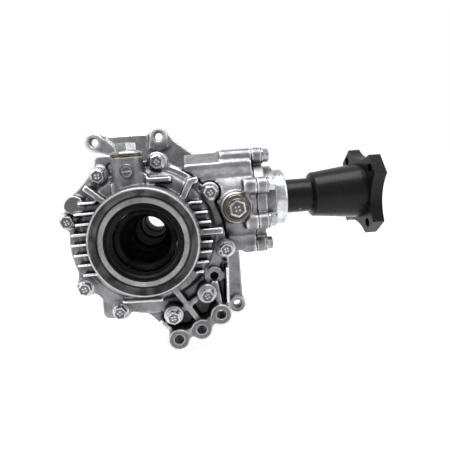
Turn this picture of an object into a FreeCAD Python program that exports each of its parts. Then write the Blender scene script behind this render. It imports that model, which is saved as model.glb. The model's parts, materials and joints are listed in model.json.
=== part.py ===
import FreeCAD, Part
import math
import os
import types

import Sketcher

# Transfer case for a transverse drivetrain. Millimetres, +Z up.
# The hollow input shaft turns about the Y axis and the output pinion turns about a line
# parallel to X. The origin is where the input axis meets the rear mounting face, and the
# housing extends from that face towards -Y, which is called forward below.

os.makedirs("parts", exist_ok=True)
Vector = FreeCAD.Vector
document = FreeCAD.newDocument("transfer_case")
sheet = document.addObject("Spreadsheet::Sheet", "dims")

SIZES = {
    # Where the castings meet, measured forward of the rear mounting face.
    "rear_flange": 10.0,
    "joint_plane": 100.0,
    "cover_flange": 10.0,
    "bolt_seat": 12.0,
    "tall_bolt_seat": 25.0,
    "rim_plane": 150.0,
    # Round walls about the input axis, as radii.
    "cavity_r": 71.5,
    "case_wall": 7.5,
    "cavity_back": 24.0,
    "hub_r": 55.0,
    "rim_r": 53.0,
    "floor_wall": 6.0,
    "floor_rise": 12.0,
    "floor_r": 67.0,
    # Joint flange of both castings, an eccentric disc with nine bolts.
    "flange_drop": 5.0,
    "flange_r": 82.0,
    "bolt_circle_r": 83.3,
    "bolt_boss_r": 10.5,
    "bolt_r": 4.0,
    "bolt_grip": 25.0,
    "bolt_head_r": 8.75,
    "bolt_flat": 12.5,
    "bolt_head": 8.0,
    "washer_rim": 2.2,
    # Output axis.
    "output_y": -72.0,
    "output_z": 25.5,
    "nose_face": 118.0,
    "nose_r": 45.0,
    "nose_bolt_r": 9.0,
    "nose_bolt_y": 43.7,
    "nose_bolt_z": 18.7,
    "nose_bolt_y2": 17.5,
    "nose_bolt_z2": 49.5,
    "housing_flange": 11.3,
    "housing_hub": 13.0,
    "housing_hub_r": 37.0,
    "spigot_start": 75.0,
    "spigot_r": 27.4,
    # Gears.
    "ring_teeth": 41,
    "pinion_teeth": 14,
    "tooth_inner": 44.0,
    "tooth_outer": 62.0,
    "tooth_tip": 2.0,
    "tooth_root": 2.6,
    "tooth_gap": 0.5,
    "ring_back": 40.0,
    "ring_bore_r": 40.0,
    "ring_edge": 1.5,
    # Hollow input shaft.
    "shaft_front": 134.0,
    "shaft_rear": 46.0,
    "journal_r": 31.5,
    "shoulder_r": 36.0,
    "gear_flange_r": 56.0,
    "gear_flange": 8.0,
    "gear_bolt_r": 48.0,
    "gear_bolts": 10,
    "rear_journal_r": 26.0,
    "spline_r": 21.0,
    "spline_depth": 1.4,
    "spline_teeth": 24,
    "mouth_r": 26.2,
    "mouth_depth": 28.0,
    "bore_r": 17.4,
    "bore_step": 1.4,
    # Bearings.
    "front_cup_r": 45.0,
    "front_bearing": 16.0,
    "front_bearing_start": 110.0,
    "rear_cup_r": 39.0,
    "rear_bearing": 14.0,
    "rear_bearing_start": 8.0,
    "pinion_r": 13.0,
    "inner_cup_r": 24.6,
    "inner_bearing": 14.0,
    "outer_cup_r": 25.0,
    "outer_bearing": 14.0,
    "outer_bearing_start": 112.0,
    # Front seal.
    "seal_plane": 147.5,
    "seal_depth": 11.0,
    "seal_ring_r": 43.7,
    "seal_rubber_r": 39.2,
    "seal_lip_r": 34.0,
    # Companion flange and dust cover.
    "sleeve_r": 19.6,
    "sleeve_start": 130.0,
    "cone_start": 189.0,
    "cone_r": 25.7,
    "cone_end_r": 32.0,
    "flange_back": 246.0,
    "flange_plate": 13.5,
    "flange_corner_r": 52.3,
    "flange_waist_r": 37.0,
    "flange_turn": 6.5,
    "flange_cut": 14.0,
    "flange_bolt_circle_r": 44.0,
    "flange_hole_r": 5.0,
    "cup_r": 24.0,
    "cup_floor": 212.0,
    "dust_start": 142.8,
    "dust_end": 155.0,
    "dust_r": 32.2,
    "dust_wall": 1.6,
    # Filler tower with its plug, and the level plug on the nose.
    "tower_x": -12.0,
    "tower_r": 16.0,
    "tower_top": 84.0,
    "tower_ring_r": 6.2,
    "filler_bore_r": 9.0,
    "filler_flange_r": 16.5,
    "filler_flat": 19.0,
    "level_x": 95.4,
    "level_z": 23.4,
    "level_face": 121.0,
    "level_boss_r": 16.6,
    "plug_flange": 4.0,
    "plug_head": 8.0,
    "gasket": 1.5,
    "gasket_r": 16.2,
    "level_gasket_r": 15.0,
    "level_flange_r": 14.2,
    "level_flat": 16.0,
    # Threaded bosses for brackets, and the ears that bolt to the transaxle.
    "bracket_face": 125.0,
    "bracket_boss_r": 11.6,
    "bracket_hole_r": 5.0,
    "ear_hole_r": 5.25,
    "ear_r": 12.0,
    "ear_step": 5.0,
    # Cooling ribs between the hub and the joint flange.
    "rib": 2.8,
    "rib_front": 126.0,
    "rib_pitch": 10.5,
}


class Size(float):
    """A number that remembers the sheet formula it comes from."""

    def __new__(cls, number, formula=None):
        made = super().__new__(cls, number)
        made.formula = formula or repr(float(number))
        return made

    def __add__(self, other):
        return Size(float(self) + other, f"({self.formula} + {formula(other)})")

    def __radd__(self, other):
        return Size(other + float(self), f"({formula(other)} + {self.formula})")

    def __sub__(self, other):
        return Size(float(self) - other, f"({self.formula} - {formula(other)})")

    def __rsub__(self, other):
        return Size(other - float(self), f"({formula(other)} - {self.formula})")

    def __mul__(self, other):
        return Size(float(self) * other, f"({self.formula} * {formula(other)})")

    def __rmul__(self, other):
        return Size(other * float(self), f"({formula(other)} * {self.formula})")

    def __truediv__(self, other):
        return Size(float(self) / other, f"({self.formula} / {formula(other)})")

    def __neg__(self):
        return Size(-float(self), f"(0 - {self.formula})")


def formula(number):
    return number.formula if isinstance(number, Size) else repr(float(number))


def root(number):
    return Size(math.sqrt(number), f"sqrt({formula(number)})")


def cosine(degrees):
    return Size(math.cos(math.radians(degrees)), f"cos({formula(degrees)} * 1 deg)")


def sine(degrees):
    return Size(math.sin(math.radians(degrees)), f"sin({formula(degrees)} * 1 deg)")


def fill_sheet():
    named = {}
    for row, (alias, number) in enumerate(SIZES.items(), start=1):
        sheet.set(f"A{row}", alias.replace("_", " "))
        sheet.set(f"B{row}", str(number))
        sheet.setAlias(f"B{row}", alias)
        named[alias] = Size(number, f"dims.{alias}")
    document.recompute()
    return types.SimpleNamespace(**named)


d = fill_sheet()


def bind(item, path, number):
    item.setExpression(path, formula(number))


# Sketches and features. Planes are named XY, XZ and YZ. A sketch on XZ has x = X, y = Z and
# faces forward (-Y); on YZ it has x = Y, y = Z and faces +X; on XY it faces +Z.


def new_body(label):
    body = document.addObject("PartDesign::Body", label)
    body.Label = label
    return body


def sketch_on(body, name, plane, origin):
    sketch = body.newObject("Sketcher::SketchObject", name)
    for feature in body.Origin.OriginFeatures:
        if feature.Role == plane + "_Plane":
            sketch.AttachmentSupport = (feature, [""])
    sketch.MapMode = "FlatFace"
    for axis, number in zip("xyz", origin):
        bind(sketch, f"AttachmentOffset.Base.{axis}", number)
    return sketch


def hold_point(sketch, edge, vertex, x, y):
    kinds = (("DistanceX", x), ("DistanceY", y))
    limits = [Sketcher.Constraint(kind, -1, 1, edge, vertex, float(at)) for kind, at in kinds]
    for index, (_, at) in zip(sketch.addConstraint(limits), kinds):
        bind(sketch, f"Constraints[{index}]", at)


def draw_circle(sketch, x, y, radius):
    edge = sketch.addGeometry(Part.Circle(Vector(x, y, 0), Vector(0, 0, 1), float(radius)))
    hold_point(sketch, edge, 3, x, y)
    index = sketch.addConstraint(Sketcher.Constraint("Radius", edge, float(radius)))
    bind(sketch, f"Constraints[{index}]", radius)


def draw_polygon(sketch, points):
    corners = [Vector(x, y, 0) for x, y in points]
    after = corners[1:] + corners[:1]
    edges = [sketch.addGeometry(Part.LineSegment(a, b)) for a, b in zip(corners, after)]
    for edge, follower in zip(edges, edges[1:] + edges[:1]):
        sketch.addConstraint(Sketcher.Constraint("Coincident", edge, 2, follower, 1))
    for edge, (x, y) in zip(edges, points):
        hold_point(sketch, edge, 1, x, y)


def draw(sketch, outlines):
    for outline in outlines:
        if isinstance(outline, list):
            draw_polygon(sketch, outline)
        else:
            draw_circle(sketch, *outline)


def add(body, name, plane, start, length, *outlines):
    """Adds material from start to start + length, measured the way the plane faces."""
    sketch = sketch_on(body, name + "_sketch", plane, (0, 0, start))
    draw(sketch, outlines)
    pad = body.newObject("PartDesign::Pad", name)
    pad.Profile = sketch
    bind(pad, "Length", length)
    return pad


def cut(body, name, plane, start, length, *outlines):
    """Takes material away from start to start + length, measured the way the plane faces."""
    sketch = sketch_on(body, name + "_sketch", plane, (0, 0, start))
    draw(sketch, outlines)
    pocket = body.newObject("PartDesign::Pocket", name)
    pocket.Profile = sketch
    bind(pocket, "Length", length)
    pocket.Reversed = True
    return pocket


def turn(body, name, kind, points, axis, origin=(0, 0, 0)):
    sketch = sketch_on(body, name + "_sketch", "XY", origin)
    draw_polygon(sketch, points)
    feature = body.newObject("PartDesign::" + kind, name)
    feature.Profile = sketch
    feature.ReferenceAxis = (sketch, [axis])
    feature.Angle = 360
    return feature


def about_input(body, name, points, kind="Revolution"):
    """Revolves (radius, distance forward) points about the input axis."""
    return turn(body, name, kind, [(r, -forward) for r, forward in points], "V_Axis")


def about_output(body, name, points, kind="Revolution"):
    """Revolves (X, radius) points about the output axis."""
    origin = (0, d.output_y, d.output_z)
    return turn(body, name, kind, points, "H_Axis", origin)


def on_output_axis(label):
    """A body whose own X axis is the output axis."""
    body = new_body(label)
    bind(body, "Placement.Base.y", d.output_y)
    bind(body, "Placement.Base.z", d.output_z)
    return body


def about_own_x(body, name, points, kind="Revolution"):
    return turn(body, name, kind, points, "H_Axis")


def polar(body, feature, axis, count):
    """Repeats a feature round one of the body's own axes, X or Y."""
    pattern = body.newObject("PartDesign::PolarPattern", feature.Name + "_row")
    pattern.Originals = [feature]
    for line in body.Origin.OriginFeatures:
        if line.Role == axis + "_Axis":
            pattern.Axis = (line, [""])
    pattern.Angle = 360
    bind(pattern, "Occurrences", count)
    body.Tip = pattern
    return pattern


def loft(body, name, plane, first, second):
    """Adds a solid between two outlines, each given as (distance, outline)."""
    sketches = []
    for number, (distance, outline) in enumerate((first, second)):
        sketch = sketch_on(body, f"{name}_end_{number}", plane, (0, 0, distance))
        draw(sketch, [outline])
        sketches.append(sketch)
    feature = body.newObject("PartDesign::AdditiveLoft", name)
    feature.Profile = sketches[0]
    feature.Sections = [sketches[1]]
    feature.Ruled = True
    return feature


def hexagon(x, y, flat, turned=0.0):
    corner = flat / 2 / cosine(30)
    angles = [turned + 60 * i for i in range(6)]
    return [(x + corner * cosine(a), y + corner * sine(a)) for a in angles]


def strip(x1, y1, x2, y2, width):
    """The four corners of a straight rib between two points."""
    along = math.hypot(x2 - x1, y2 - y1)
    side = (width / 2 * ((y1 - y2) / along), width / 2 * ((x2 - x1) / along))
    return [
        (x1 + side[0], y1 + side[1]),
        (x1 - side[0], y1 - side[1]),
        (x2 - side[0], y2 - side[1]),
        (x2 + side[0], y2 + side[1]),
    ]


def group(label, solids):
    """One node that holds several separate solids."""
    item = document.addObject("Part::Feature", label)
    item.Label = label
    item.Shape = Part.makeCompound(solids)
    return item


def placed(shape, position, direction=Vector(0, 0, 1), spin=0.0):
    """A copy of a shape whose own Z axis is turned to a direction and moved to a position."""
    copy = shape.copy()
    turned = FreeCAD.Rotation(Vector(0, 0, 1), direction)
    turned = turned.multiply(FreeCAD.Rotation(Vector(0, 0, 1), spin))
    copy.Placement = FreeCAD.Placement(position, turned)
    return copy


FORWARD = Vector(0, -1, 0)
OUTWARD = Vector(1, 0, 0)

# Nine bolts join the two castings: angle about the flange centre, and whether the boss is tall.
COVER_BOLTS = (
    (160.6, False),
    (120.8, False),
    (78.0, False),
    (33.8, False),
    (-11.0, False),
    (-46.7, True),
    (-76.3, True),
    (-116.5, False),
    (-147.6, False),
)


def cover_bolt_places(tall=None):
    return [
        (d.bolt_circle_r * cosine(angle), d.bolt_circle_r * sine(angle) - d.flange_drop)
        for angle, high in COVER_BOLTS
        if tall is None or high == tall
    ]


def housing_bolt_places(step_y, step_z):
    return [
        (d.output_y + across * step_y, d.output_z + up * step_z)
        for across in (-1, 1)
        for up in (-1, 1)
    ]


def side_bolts():
    return housing_bolt_places(d.nose_bolt_y, d.nose_bolt_z)


def end_bolts():
    return housing_bolt_places(d.nose_bolt_y2, d.nose_bolt_z2)


def rings(places, radius):
    return [(x, y, radius) for x, y in places]


def tower_y():
    return -(d.joint_plane + d.tower_r + 0.2)


# Bracket bosses on the front cover, and mounting ears on the rear flange, as X and Z.
BRACKET_BOSSES = ((23.0, -114.0), (48.2, -105.5), (70.5, -90.8))
SIDE_BOSS = (66.5, -50.0)
# Straight-edged corners of the joint flange, outside its disc.
FLANGE_CORNERS = (
    [(-54, 66), (-76, 45), (-66, 34), (-44, 56)],
    [(-80, -4), (-81, -18), (-77, -31), (-79, -44), (-60, -44), (-60, -4)],
)
EARS = ((-65.7, 106.0), (14.5, 107.9), (99.1, -123.1), (-58.0, -88.0))


def build_main_case():
    body = new_body("transfer_case")
    outer_r = d.cavity_r + d.case_wall
    about_input(
        body,
        "shell",
        [
            (0, 0),
            (62, 0),
            (62, d.cavity_back - 4),
            (outer_r, d.cavity_back + 30),
            (outer_r, d.joint_plane),
            (0, d.joint_plane),
        ],
    )
    centre = (0, -d.flange_drop)
    bosses = rings(cover_bolt_places(), d.bolt_boss_r)
    add(body, "bolt_bosses", "XZ", d.joint_plane - 28, 28, *bosses)
    add(body, "joint_flange", "XZ", d.joint_plane - 14, 14, (*centre, d.flange_r))
    add(body, "flange_corners", "XZ", d.joint_plane - 14, 14, *FLANGE_CORNERS)
    # Rear flange, its web and the ears that bolt to the transaxle.
    plate = [
        (-58, 84),
        (-46, 90),
        (-62, 97),
        (-59, 113),
        (8, 112),
        (24, 110),
        (58, 82),
        (84, 74),
        (104, 50),
        (108, -58),
        (108, -112),
        (92, -126),
        (60, -100),
        (-50, -97),
        (-80, -52),
        (-84, 40),
        (-70, 66),
    ]
    add(body, "rear_plate", "XZ", 0, d.rear_flange, plate)
    add(body, "ears", "XZ", 0, d.rear_flange + d.ear_step, *rings(EARS, d.ear_r))
    left_arm = [(-71, 96), (-45, 88), (-38, 93), (-41, 98), (-60, 117)]
    right_arm = [(4, 110), (0, 96), (6, 92), (13, 90.5), (20, 91.5), (26, 95), (25, 110)]
    add(body, "ear_arms", "XZ", 0, d.rear_flange + d.ear_step - 1, left_arm)
    add(body, "ear_apron", "XZ", 0, d.rear_flange + d.ear_step - 1, right_arm)
    # Lower side wall that carries the bracket bosses of the cover.
    wall = [(40, -20), (86, -20), (82, -78), (60, -98), (14, -104), (-6, -84), (0, -60)]
    add(body, "side_wall", "XZ", 40, d.joint_plane - 40, wall)
    # Output nose with its bolt bosses and the sloping shoulder on its top.
    nose = (d.output_y, d.output_z, d.nose_r)
    add(body, "nose", "YZ", 40, d.nose_face - 40, nose)
    front = -d.joint_plane
    lip = [(front, 48), (front - 6, 57), (front - 2, 66), (front - 2, 71)]
    shoulder = [*lip, (-66, 82), (-44, 82), (-30, 62), (-30, 20)]
    add(body, "shoulder", "YZ", 44, d.nose_face - 45, shoulder)
    upper = [place for place in end_bolts() if place[1] > d.output_z]
    lower = [place for place in end_bolts() if place[1] < d.output_z]
    add(body, "upper_bosses", "YZ", d.nose_face - 35, 35, *rings(upper, d.nose_bolt_r))
    short = rings(side_bolts() + lower, d.nose_bolt_r)
    add(body, "short_bosses", "YZ", d.nose_face - 14, 14, *short)
    low_rib = [(-97, -30), (-97, -10), (-60, -10), (-60, -22)]
    add(body, "low_rib", "YZ", 60, d.nose_face - 60, low_rib)
    root_plane = -d.output_y + 30
    level = (d.level_x, d.level_z)
    reach = d.level_face - root_plane
    add(body, "level_boss", "XZ", root_plane, reach, (*level, d.level_boss_r))
    # The cover's own space ahead of the joint plane.
    ahead = d.nose_r + 10
    cut(body, "cover_space", "XZ", d.joint_plane, ahead, (*centre, d.flange_r + 1))
    near = rings(cover_bolt_places()[3:5], d.bolt_boss_r + 1)
    cut(body, "boss_space", "XZ", d.joint_plane, ahead, *near)
    # Gear chamber, bearing bore and seal bore.
    about_input(
        body,
        "chamber",
        [
            (0, d.joint_plane + 1),
            (d.cavity_r, d.joint_plane + 1),
            (d.cavity_r, 44),
            (62, 32),
            (62, d.cavity_back),
            (d.rear_cup_r, d.cavity_back),
            (d.rear_cup_r, d.rear_bearing_start),
            (36, d.rear_bearing_start),
            (36, -1),
            (0, -1),
        ],
        "Groove",
    )
    axis = (d.output_y, d.output_z)
    cut(body, "pinion_room", "YZ", 36, d.spigot_start - 36, (*axis, 25))
    cut(body, "spigot_bore", "YZ", d.spigot_start, 80, (*axis, d.spigot_r + 0.05))
    depth = d.bolt_grip - d.bolt_seat + 4
    tapped = rings(cover_bolt_places(), d.bolt_r)
    cut(body, "tapped_holes", "XZ", d.joint_plane - depth, depth, *tapped)
    tapped = rings(side_bolts() + end_bolts(), d.bolt_r)
    cut(body, "nose_holes", "YZ", d.nose_face - 12, 12, *tapped)
    cut(body, "ear_holes", "XZ", -1, d.rear_flange + 20, *rings(EARS, d.ear_hole_r))
    cut(body, "level_seat", "XZ", d.level_face, 20, (*level, d.level_boss_r + 0.6))
    cut(body, "level_hole", "XZ", d.level_face - 18, 30, (*level, d.filler_bore_r))


def fins():
    """Straight cooling ribs on both sides of the hub."""
    return [
        strip(side * 46, z, side * root(far * far - z * z), z, d.rib)
        for side, top, far in ((-1, 41, d.flange_r - 6), (1, 33, d.flange_r - 13))
        for z in [top - step * d.rib_pitch for step in range(8)]
    ]


def hub_inside(floor_back):
    """The cover's inner wall from the joint plane out to the rim, as (radius, forward)."""
    cup = d.front_cup_r
    bearing_end = d.front_bearing_start + d.front_bearing
    return [
        (d.cavity_r, floor_back - 6),
        (d.cavity_r - 6, floor_back),
        (cup + 4, floor_back),
        (cup + 4, d.front_bearing_start),
        (cup, d.front_bearing_start),
        (cup, bearing_end),
        (cup - 4, bearing_end),
        (cup - 4, d.shaft_front + 1.5),
        (cup, d.shaft_front + 1.5),
        (cup, d.rim_plane - 3.5),
        (d.rim_r - 0.6, d.rim_plane),
    ]


def build_cover():
    body = new_body("adapter_case")
    floor_back = d.joint_plane + d.floor_rise
    floor_front = floor_back + d.floor_wall
    flange_front = d.joint_plane + d.cover_flange
    centre = (0, -d.flange_drop)
    reach = d.bracket_face - d.joint_plane
    add(body, "joint_flange", "XZ", d.joint_plane, d.cover_flange, (*centre, d.flange_r))
    add(body, "flange_corners", "XZ", d.joint_plane, d.cover_flange, *FLANGE_CORNERS)
    add(body, "side_boss", "XZ", d.joint_plane, 14, (*SIDE_BOSS, 10.6))
    add(body, "blank_boss", "XZ", d.joint_plane, 19, (-69.2, 38.3, 10.6))
    low = rings(cover_bolt_places(False), d.bolt_boss_r)
    add(body, "bolt_bosses", "XZ", d.joint_plane, d.bolt_seat, *low)
    high = rings(cover_bolt_places(True), d.bolt_boss_r)
    high += rings(BRACKET_BOSSES, d.bracket_boss_r)
    add(body, "tall_bosses", "XZ", d.joint_plane, reach, *high)
    # Lower bracket: a web out to three threaded bosses with crossing ribs.
    web = [
        (-26, -72),
        (-26, -84),
        (-9, -89),
        (12, -112),
        (23, -120),
        (48, -110),
        (72, -95),
        (82, -78),
        (84, -36),
        (70, -34),
        (40, -62),
    ]
    lug = [(-56, -56), (-57.5, -84), (-54, -88.5), (-36, -89.5), (-28, -84), (-28, -60)]
    plate = [(-46, 50), (-24, 50), (-24, 80), (-31, 87), (-44, 87), (-46, 84)]
    add(body, "bracket_web", "XZ", d.joint_plane, 5, web)
    add(body, "lug_plates", "XZ", d.joint_plane, 9, lug, plate)
    one_way = [
        strip(18, -50, 46, -97, 6.5),
        strip(66, -50, 71, -88, 6.5),
        strip(5, -92, 19, -108, 4.5),
        strip(-33, -67, 10, -69, 3.5),
        strip(79, -80, 81, -40, 3.5),
    ]
    add(body, "long_ribs", "XZ", d.joint_plane, reach - 4, *one_way)
    arc = [(22, -107), (24, -117), (50, -109.5), (74, -94), (69, -84), (47, -99)]
    add(body, "cross_ribs", "XZ", d.joint_plane, reach - 5, strip(24, -86, 52, -68, 6.5))
    add(body, "boss_bridge", "XZ", d.joint_plane, reach - 1, arc)
    # Domed floor and the hub that stands on it.
    about_input(
        body,
        "bell",
        [
            (0, d.joint_plane),
            (d.floor_r + 4, d.joint_plane),
            (d.floor_r + 4, floor_front - 4),
            (d.floor_r, floor_front),
            (d.hub_r, floor_front),
            (d.hub_r, d.rim_plane - 3),
            (d.rim_r + 0.6, d.rim_plane),
            (0, d.rim_plane),
        ],
    )
    add(body, "tower", "XY", 40, d.tower_top - 40, (d.tower_x, tower_y(), d.tower_r))
    front = -tower_y() + d.tower_r
    mark = (d.tower_x + 0.7, d.tower_top - 14.5)
    add(body, "tower_ring", "XZ", front - 4, 5.2, (*mark, d.tower_ring_r))
    gusset = [(-2, 68), (3, 68), (7, 65), (9, 60), (10, 52), (-2, 52)]
    foot = [(-30, 58), (-27, 60), (-24, 60), (-24, 44), (-30, 44)]
    add(body, "tower_gussets", "XZ", flange_front - 2, d.rib_front - flange_front, gusset, foot)
    deep = d.rib_front - flange_front + 2
    add(body, "cooling_ribs", "XZ", flange_front - 2, deep, *fins())
    webs = [
        strip(-56, 57, -36, 39, 6),
        [(35, 35), (41, 33), (52, 52), (58, 53), (57, 59), (47, 57)],
        strip(6, 59, 31, 58.5, 5),
        strip(50, 1.5, 79, 1.5, 7),
    ]
    add(body, "stiff_webs", "XZ", flange_front - 2, deep, *webs)
    # Bores and holes, once everything solid is in.
    inner = [(0, d.joint_plane - 1), (d.cavity_r, d.joint_plane - 1)]
    outer = [(d.rim_r - 0.6, d.rim_plane + 1), (0, d.rim_plane + 1)]
    about_input(body, "hub_bore", inner + hub_inside(floor_back) + outer, "Groove")
    cut(body, "filler_bore", "XY", 60, 60, (d.tower_x, tower_y(), d.filler_bore_r))
    cut(body, "ring_recess", "XZ", front + 0.1, 10, (*mark, d.tower_ring_r - 1.5))
    holes = rings(cover_bolt_places(), d.bolt_r + 0.4)
    cut(body, "bolt_holes", "XZ", d.joint_plane - 1, 60, *holes)
    cut(body, "plate_hole", "XZ", d.joint_plane - 1, 12, (-30.6, 74.9, 3.4))
    seats = rings(cover_bolt_places(False), d.bolt_head_r + 0.8)
    cut(body, "bolt_seats", "XZ", d.joint_plane + d.bolt_seat, 60, *seats)
    threads = rings(BRACKET_BOSSES, d.bracket_hole_r)
    cut(body, "threaded_holes", "XZ", d.joint_plane - 1, 60, *threads, (*SIDE_BOSS, 4.2))


def build_pinion_housing():
    body = new_body("pinion_housing")
    inner_end = d.spigot_start + 1 + d.inner_bearing
    flange_front = d.nose_face + d.housing_flange
    hub_front = flange_front + d.housing_hub
    about_output(
        body,
        "spool",
        [
            (d.spigot_start, d.inner_cup_r),
            (d.spigot_start, d.spigot_r),
            (d.nose_face - 12, d.spigot_r),
            (d.nose_face - 12, d.spigot_r - 1.8),
            (d.nose_face - 9, d.spigot_r - 1.8),
            (d.nose_face - 9, d.spigot_r),
            (d.nose_face, d.spigot_r),
            (d.nose_face, d.nose_r),
            (flange_front, d.nose_r),
            (flange_front, d.housing_hub_r - 6),
            (hub_front, d.housing_hub_r - 6),
            (hub_front, d.outer_cup_r),
            (d.outer_bearing_start, d.outer_cup_r),
            (d.outer_bearing_start, d.inner_cup_r - 4),
            (inner_end, d.inner_cup_r - 4),
            (inner_end, d.inner_cup_r),
        ],
    )
    ears = rings(side_bolts() + end_bolts(), d.nose_bolt_r)
    add(body, "ears", "YZ", d.nose_face, d.housing_flange, *ears)
    # The hub is full round above and cut back below for the bolt heads.
    axis = (d.output_y, d.output_z)
    ring = (*axis, d.housing_hub_r)
    bore = (*axis, d.outer_cup_r + 1)
    add(body, "hub", "YZ", flange_front, d.housing_hub - 0.5, ring, bore)
    left, right = d.output_y - 40, d.output_y + 40
    floor, level = d.output_z - 60, d.output_z - 14.5
    low = [(left, level), (left, floor), (right, floor), (right, level)]
    cut(body, "hub_flat", "YZ", flange_front, 40, low)
    about_output(
        body,
        "hub_core",
        [
            (flange_front - 1, d.outer_cup_r),
            (hub_front, d.outer_cup_r),
            (hub_front, d.housing_hub_r - 6),
            (flange_front - 1, d.housing_hub_r - 6),
        ],
    )
    holes = rings(side_bolts() + end_bolts(), d.bolt_r + 0.4)
    cut(body, "bolt_holes", "YZ", d.nose_face - 1, 40, *holes)
    seats = rings(side_bolts() + end_bolts(), d.bolt_head_r + 0.3)
    cut(body, "bolt_seats", "YZ", flange_front, 40, *seats)


def hex_bolt(flat, head, rim_r, rim, shank_r, grip):
    """A flanged hex bolt standing on Z = 0 with its shank below."""
    corner = flat / 2 / math.cos(math.radians(30))
    points = [
        Vector(corner * math.cos(math.radians(60 * i)), corner * math.sin(math.radians(60 * i)), 0)
        for i in range(7)
    ]
    prism = Part.Face(Part.makePolygon(points)).extrude(Vector(0, 0, head))
    crown = Part.makeCone(flat / 2 + head, flat / 2 - 0.4, head + 0.4, Vector(0, 0, 0))
    shape = prism.common(crown)
    shape = shape.fuse(Part.makeCone(rim_r, rim_r - 0.8, rim))
    shape = shape.fuse(Part.makeCylinder(shank_r, grip, Vector(0, 0, -grip)))
    return shape.removeSplitter()


def build_bolts():
    small = (d.bolt_flat, d.bolt_head, d.bolt_head_r, d.washer_rim, d.bolt_r - 0.1)
    bolt = hex_bolt(*small, d.bolt_grip)
    tall_bolt = hex_bolt(*small, d.bolt_grip + d.tall_bolt_seat - d.bolt_seat)
    solids = []
    for tall, form, seat in ((False, bolt, d.bolt_seat), (True, tall_bolt, d.tall_bolt_seat)):
        for number, (x, z) in enumerate(cover_bolt_places(tall)):
            at = Vector(x, -(d.joint_plane + seat), z)
            solids.append(placed(form, at, FORWARD, 17.0 * number))
    group("cover_bolts", solids)
    bolt = hex_bolt(*small, d.housing_flange + 11)
    face = d.nose_face + d.housing_flange
    solids = [
        placed(bolt, Vector(face, y, z), OUTWARD, 13.0 * number)
        for number, (y, z) in enumerate(side_bolts() + end_bolts())
    ]
    group("pinion_housing_bolts", solids)
    bolt = hex_bolt(10.0, 5.0, 6.5, 1.5, 3.4, d.gear_flange + 8)
    solids = []
    for number in range(int(d.gear_bolts)):
        angle = math.radians(360 / d.gear_bolts * number)
        x, z = d.gear_bolt_r * math.cos(angle), d.gear_bolt_r * math.sin(angle)
        at = Vector(x, -(d.ring_back - d.gear_flange), z)
        solids.append(placed(bolt, at, -FORWARD, 0))
    group("ring_gear_bolts", solids)


def build_plugs():
    filler = new_body("filler_plug")
    at = (d.tower_x, tower_y())
    seat = d.tower_top + d.gasket
    add(filler, "flange", "XY", seat, d.plug_flange, (*at, d.filler_flange_r))
    add(filler, "hex_head", "XY", seat + 2, d.plug_flange + 6, hexagon(*at, d.filler_flat, 12))
    add(filler, "thread", "XY", seat - 14, 15, (*at, d.filler_bore_r - 0.1))
    ring = new_body("filler_plug_gasket")
    outlines = ((*at, d.gasket_r), (*at, d.filler_bore_r + 0.4))
    add(ring, "washer", "XY", d.tower_top, d.gasket, *outlines)
    level = new_body("level_plug")
    at = (d.level_x, d.level_z)
    seat = d.level_face + d.gasket
    add(level, "flange", "XZ", seat, d.plug_flange, (*at, d.level_flange_r))
    add(level, "hex_head", "XZ", seat + 2, d.plug_flange + 4, hexagon(*at, d.level_flat, 8))
    add(level, "thread", "XZ", seat - 14, 15, (*at, d.filler_bore_r - 0.1))
    ring = new_body("level_plug_gasket")
    outlines = ((*at, d.level_gasket_r), (*at, d.filler_bore_r + 0.4))
    add(ring, "washer", "XZ", d.level_face, d.gasket, *outlines)


def build_seals():
    case_r = d.front_cup_r - 0.05
    back = d.seal_plane - d.seal_depth
    inner = d.seal_rubber_r + 0.1
    shell = [
        (case_r, back),
        (case_r, d.seal_plane - 1.5),
        (d.seal_ring_r, d.seal_plane),
        (inner, d.seal_plane),
        (inner, d.seal_plane - 2),
        (case_r - 1.6, d.seal_plane - 2),
        (case_r - 1.6, back),
    ]
    about_input(new_body("front_seal_case"), "shell", shell)
    lip = d.seal_lip_r
    rubber = [
        (case_r - 1.7, back),
        (case_r - 1.7, d.seal_plane - 2.1),
        (d.seal_rubber_r, d.seal_plane - 2.1),
        (d.seal_rubber_r, d.seal_plane - 0.7),
        (d.seal_rubber_r - 1.6, d.seal_plane - 0.7),
        (d.seal_rubber_r - 2.0, d.seal_plane - 3),
        (lip + 1.6, d.seal_plane - 3),
        (lip, d.seal_plane - 4.4),
        (lip + 0.6, d.seal_plane - 6),
        (lip + 2.4, d.seal_plane - 7),
        (lip + 1.6, d.seal_plane - 8.4),
        (d.journal_r + 0.4, d.seal_plane - 9.4),
        (d.journal_r + 0.4, d.seal_plane - 10),
        (lip + 1.2, back),
    ]
    about_input(new_body("front_seal_lip"), "rubber", rubber)
    shaft = d.rear_journal_r + 0.3
    rubber = [(35.9, 0.5), (35.9, 7.5), (shaft + 2, 7.5), (shaft, 5), (shaft + 1.5, 2), (shaft, 0.5)]
    about_input(new_body("rear_seal"), "rubber", rubber)
    start = d.nose_face + d.housing_flange + 2
    sleeve = d.sleeve_r + 0.3
    outer = d.outer_cup_r - 0.05
    rubber = [
        (start, outer),
        (start, sleeve + 1.5),
        (start + 3, sleeve),
        (start + 6, sleeve + 1.5),
        (start + 9, sleeve),
        (start + 9, outer),
    ]
    about_own_x(on_output_axis("pinion_seal"), "rubber", rubber)
    groove = d.nose_face - 12
    section = [
        (groove + 0.3, d.spigot_r - 1.7),
        (groove + 2.7, d.spigot_r - 1.7),
        (groove + 2.7, d.spigot_r - 0.05),
        (groove + 0.3, d.spigot_r - 0.05),
    ]
    about_own_x(on_output_axis("pinion_housing_o_ring"), "rubber", section)


TAPER = 10.0
RUNNING_GAP = 0.12


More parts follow.
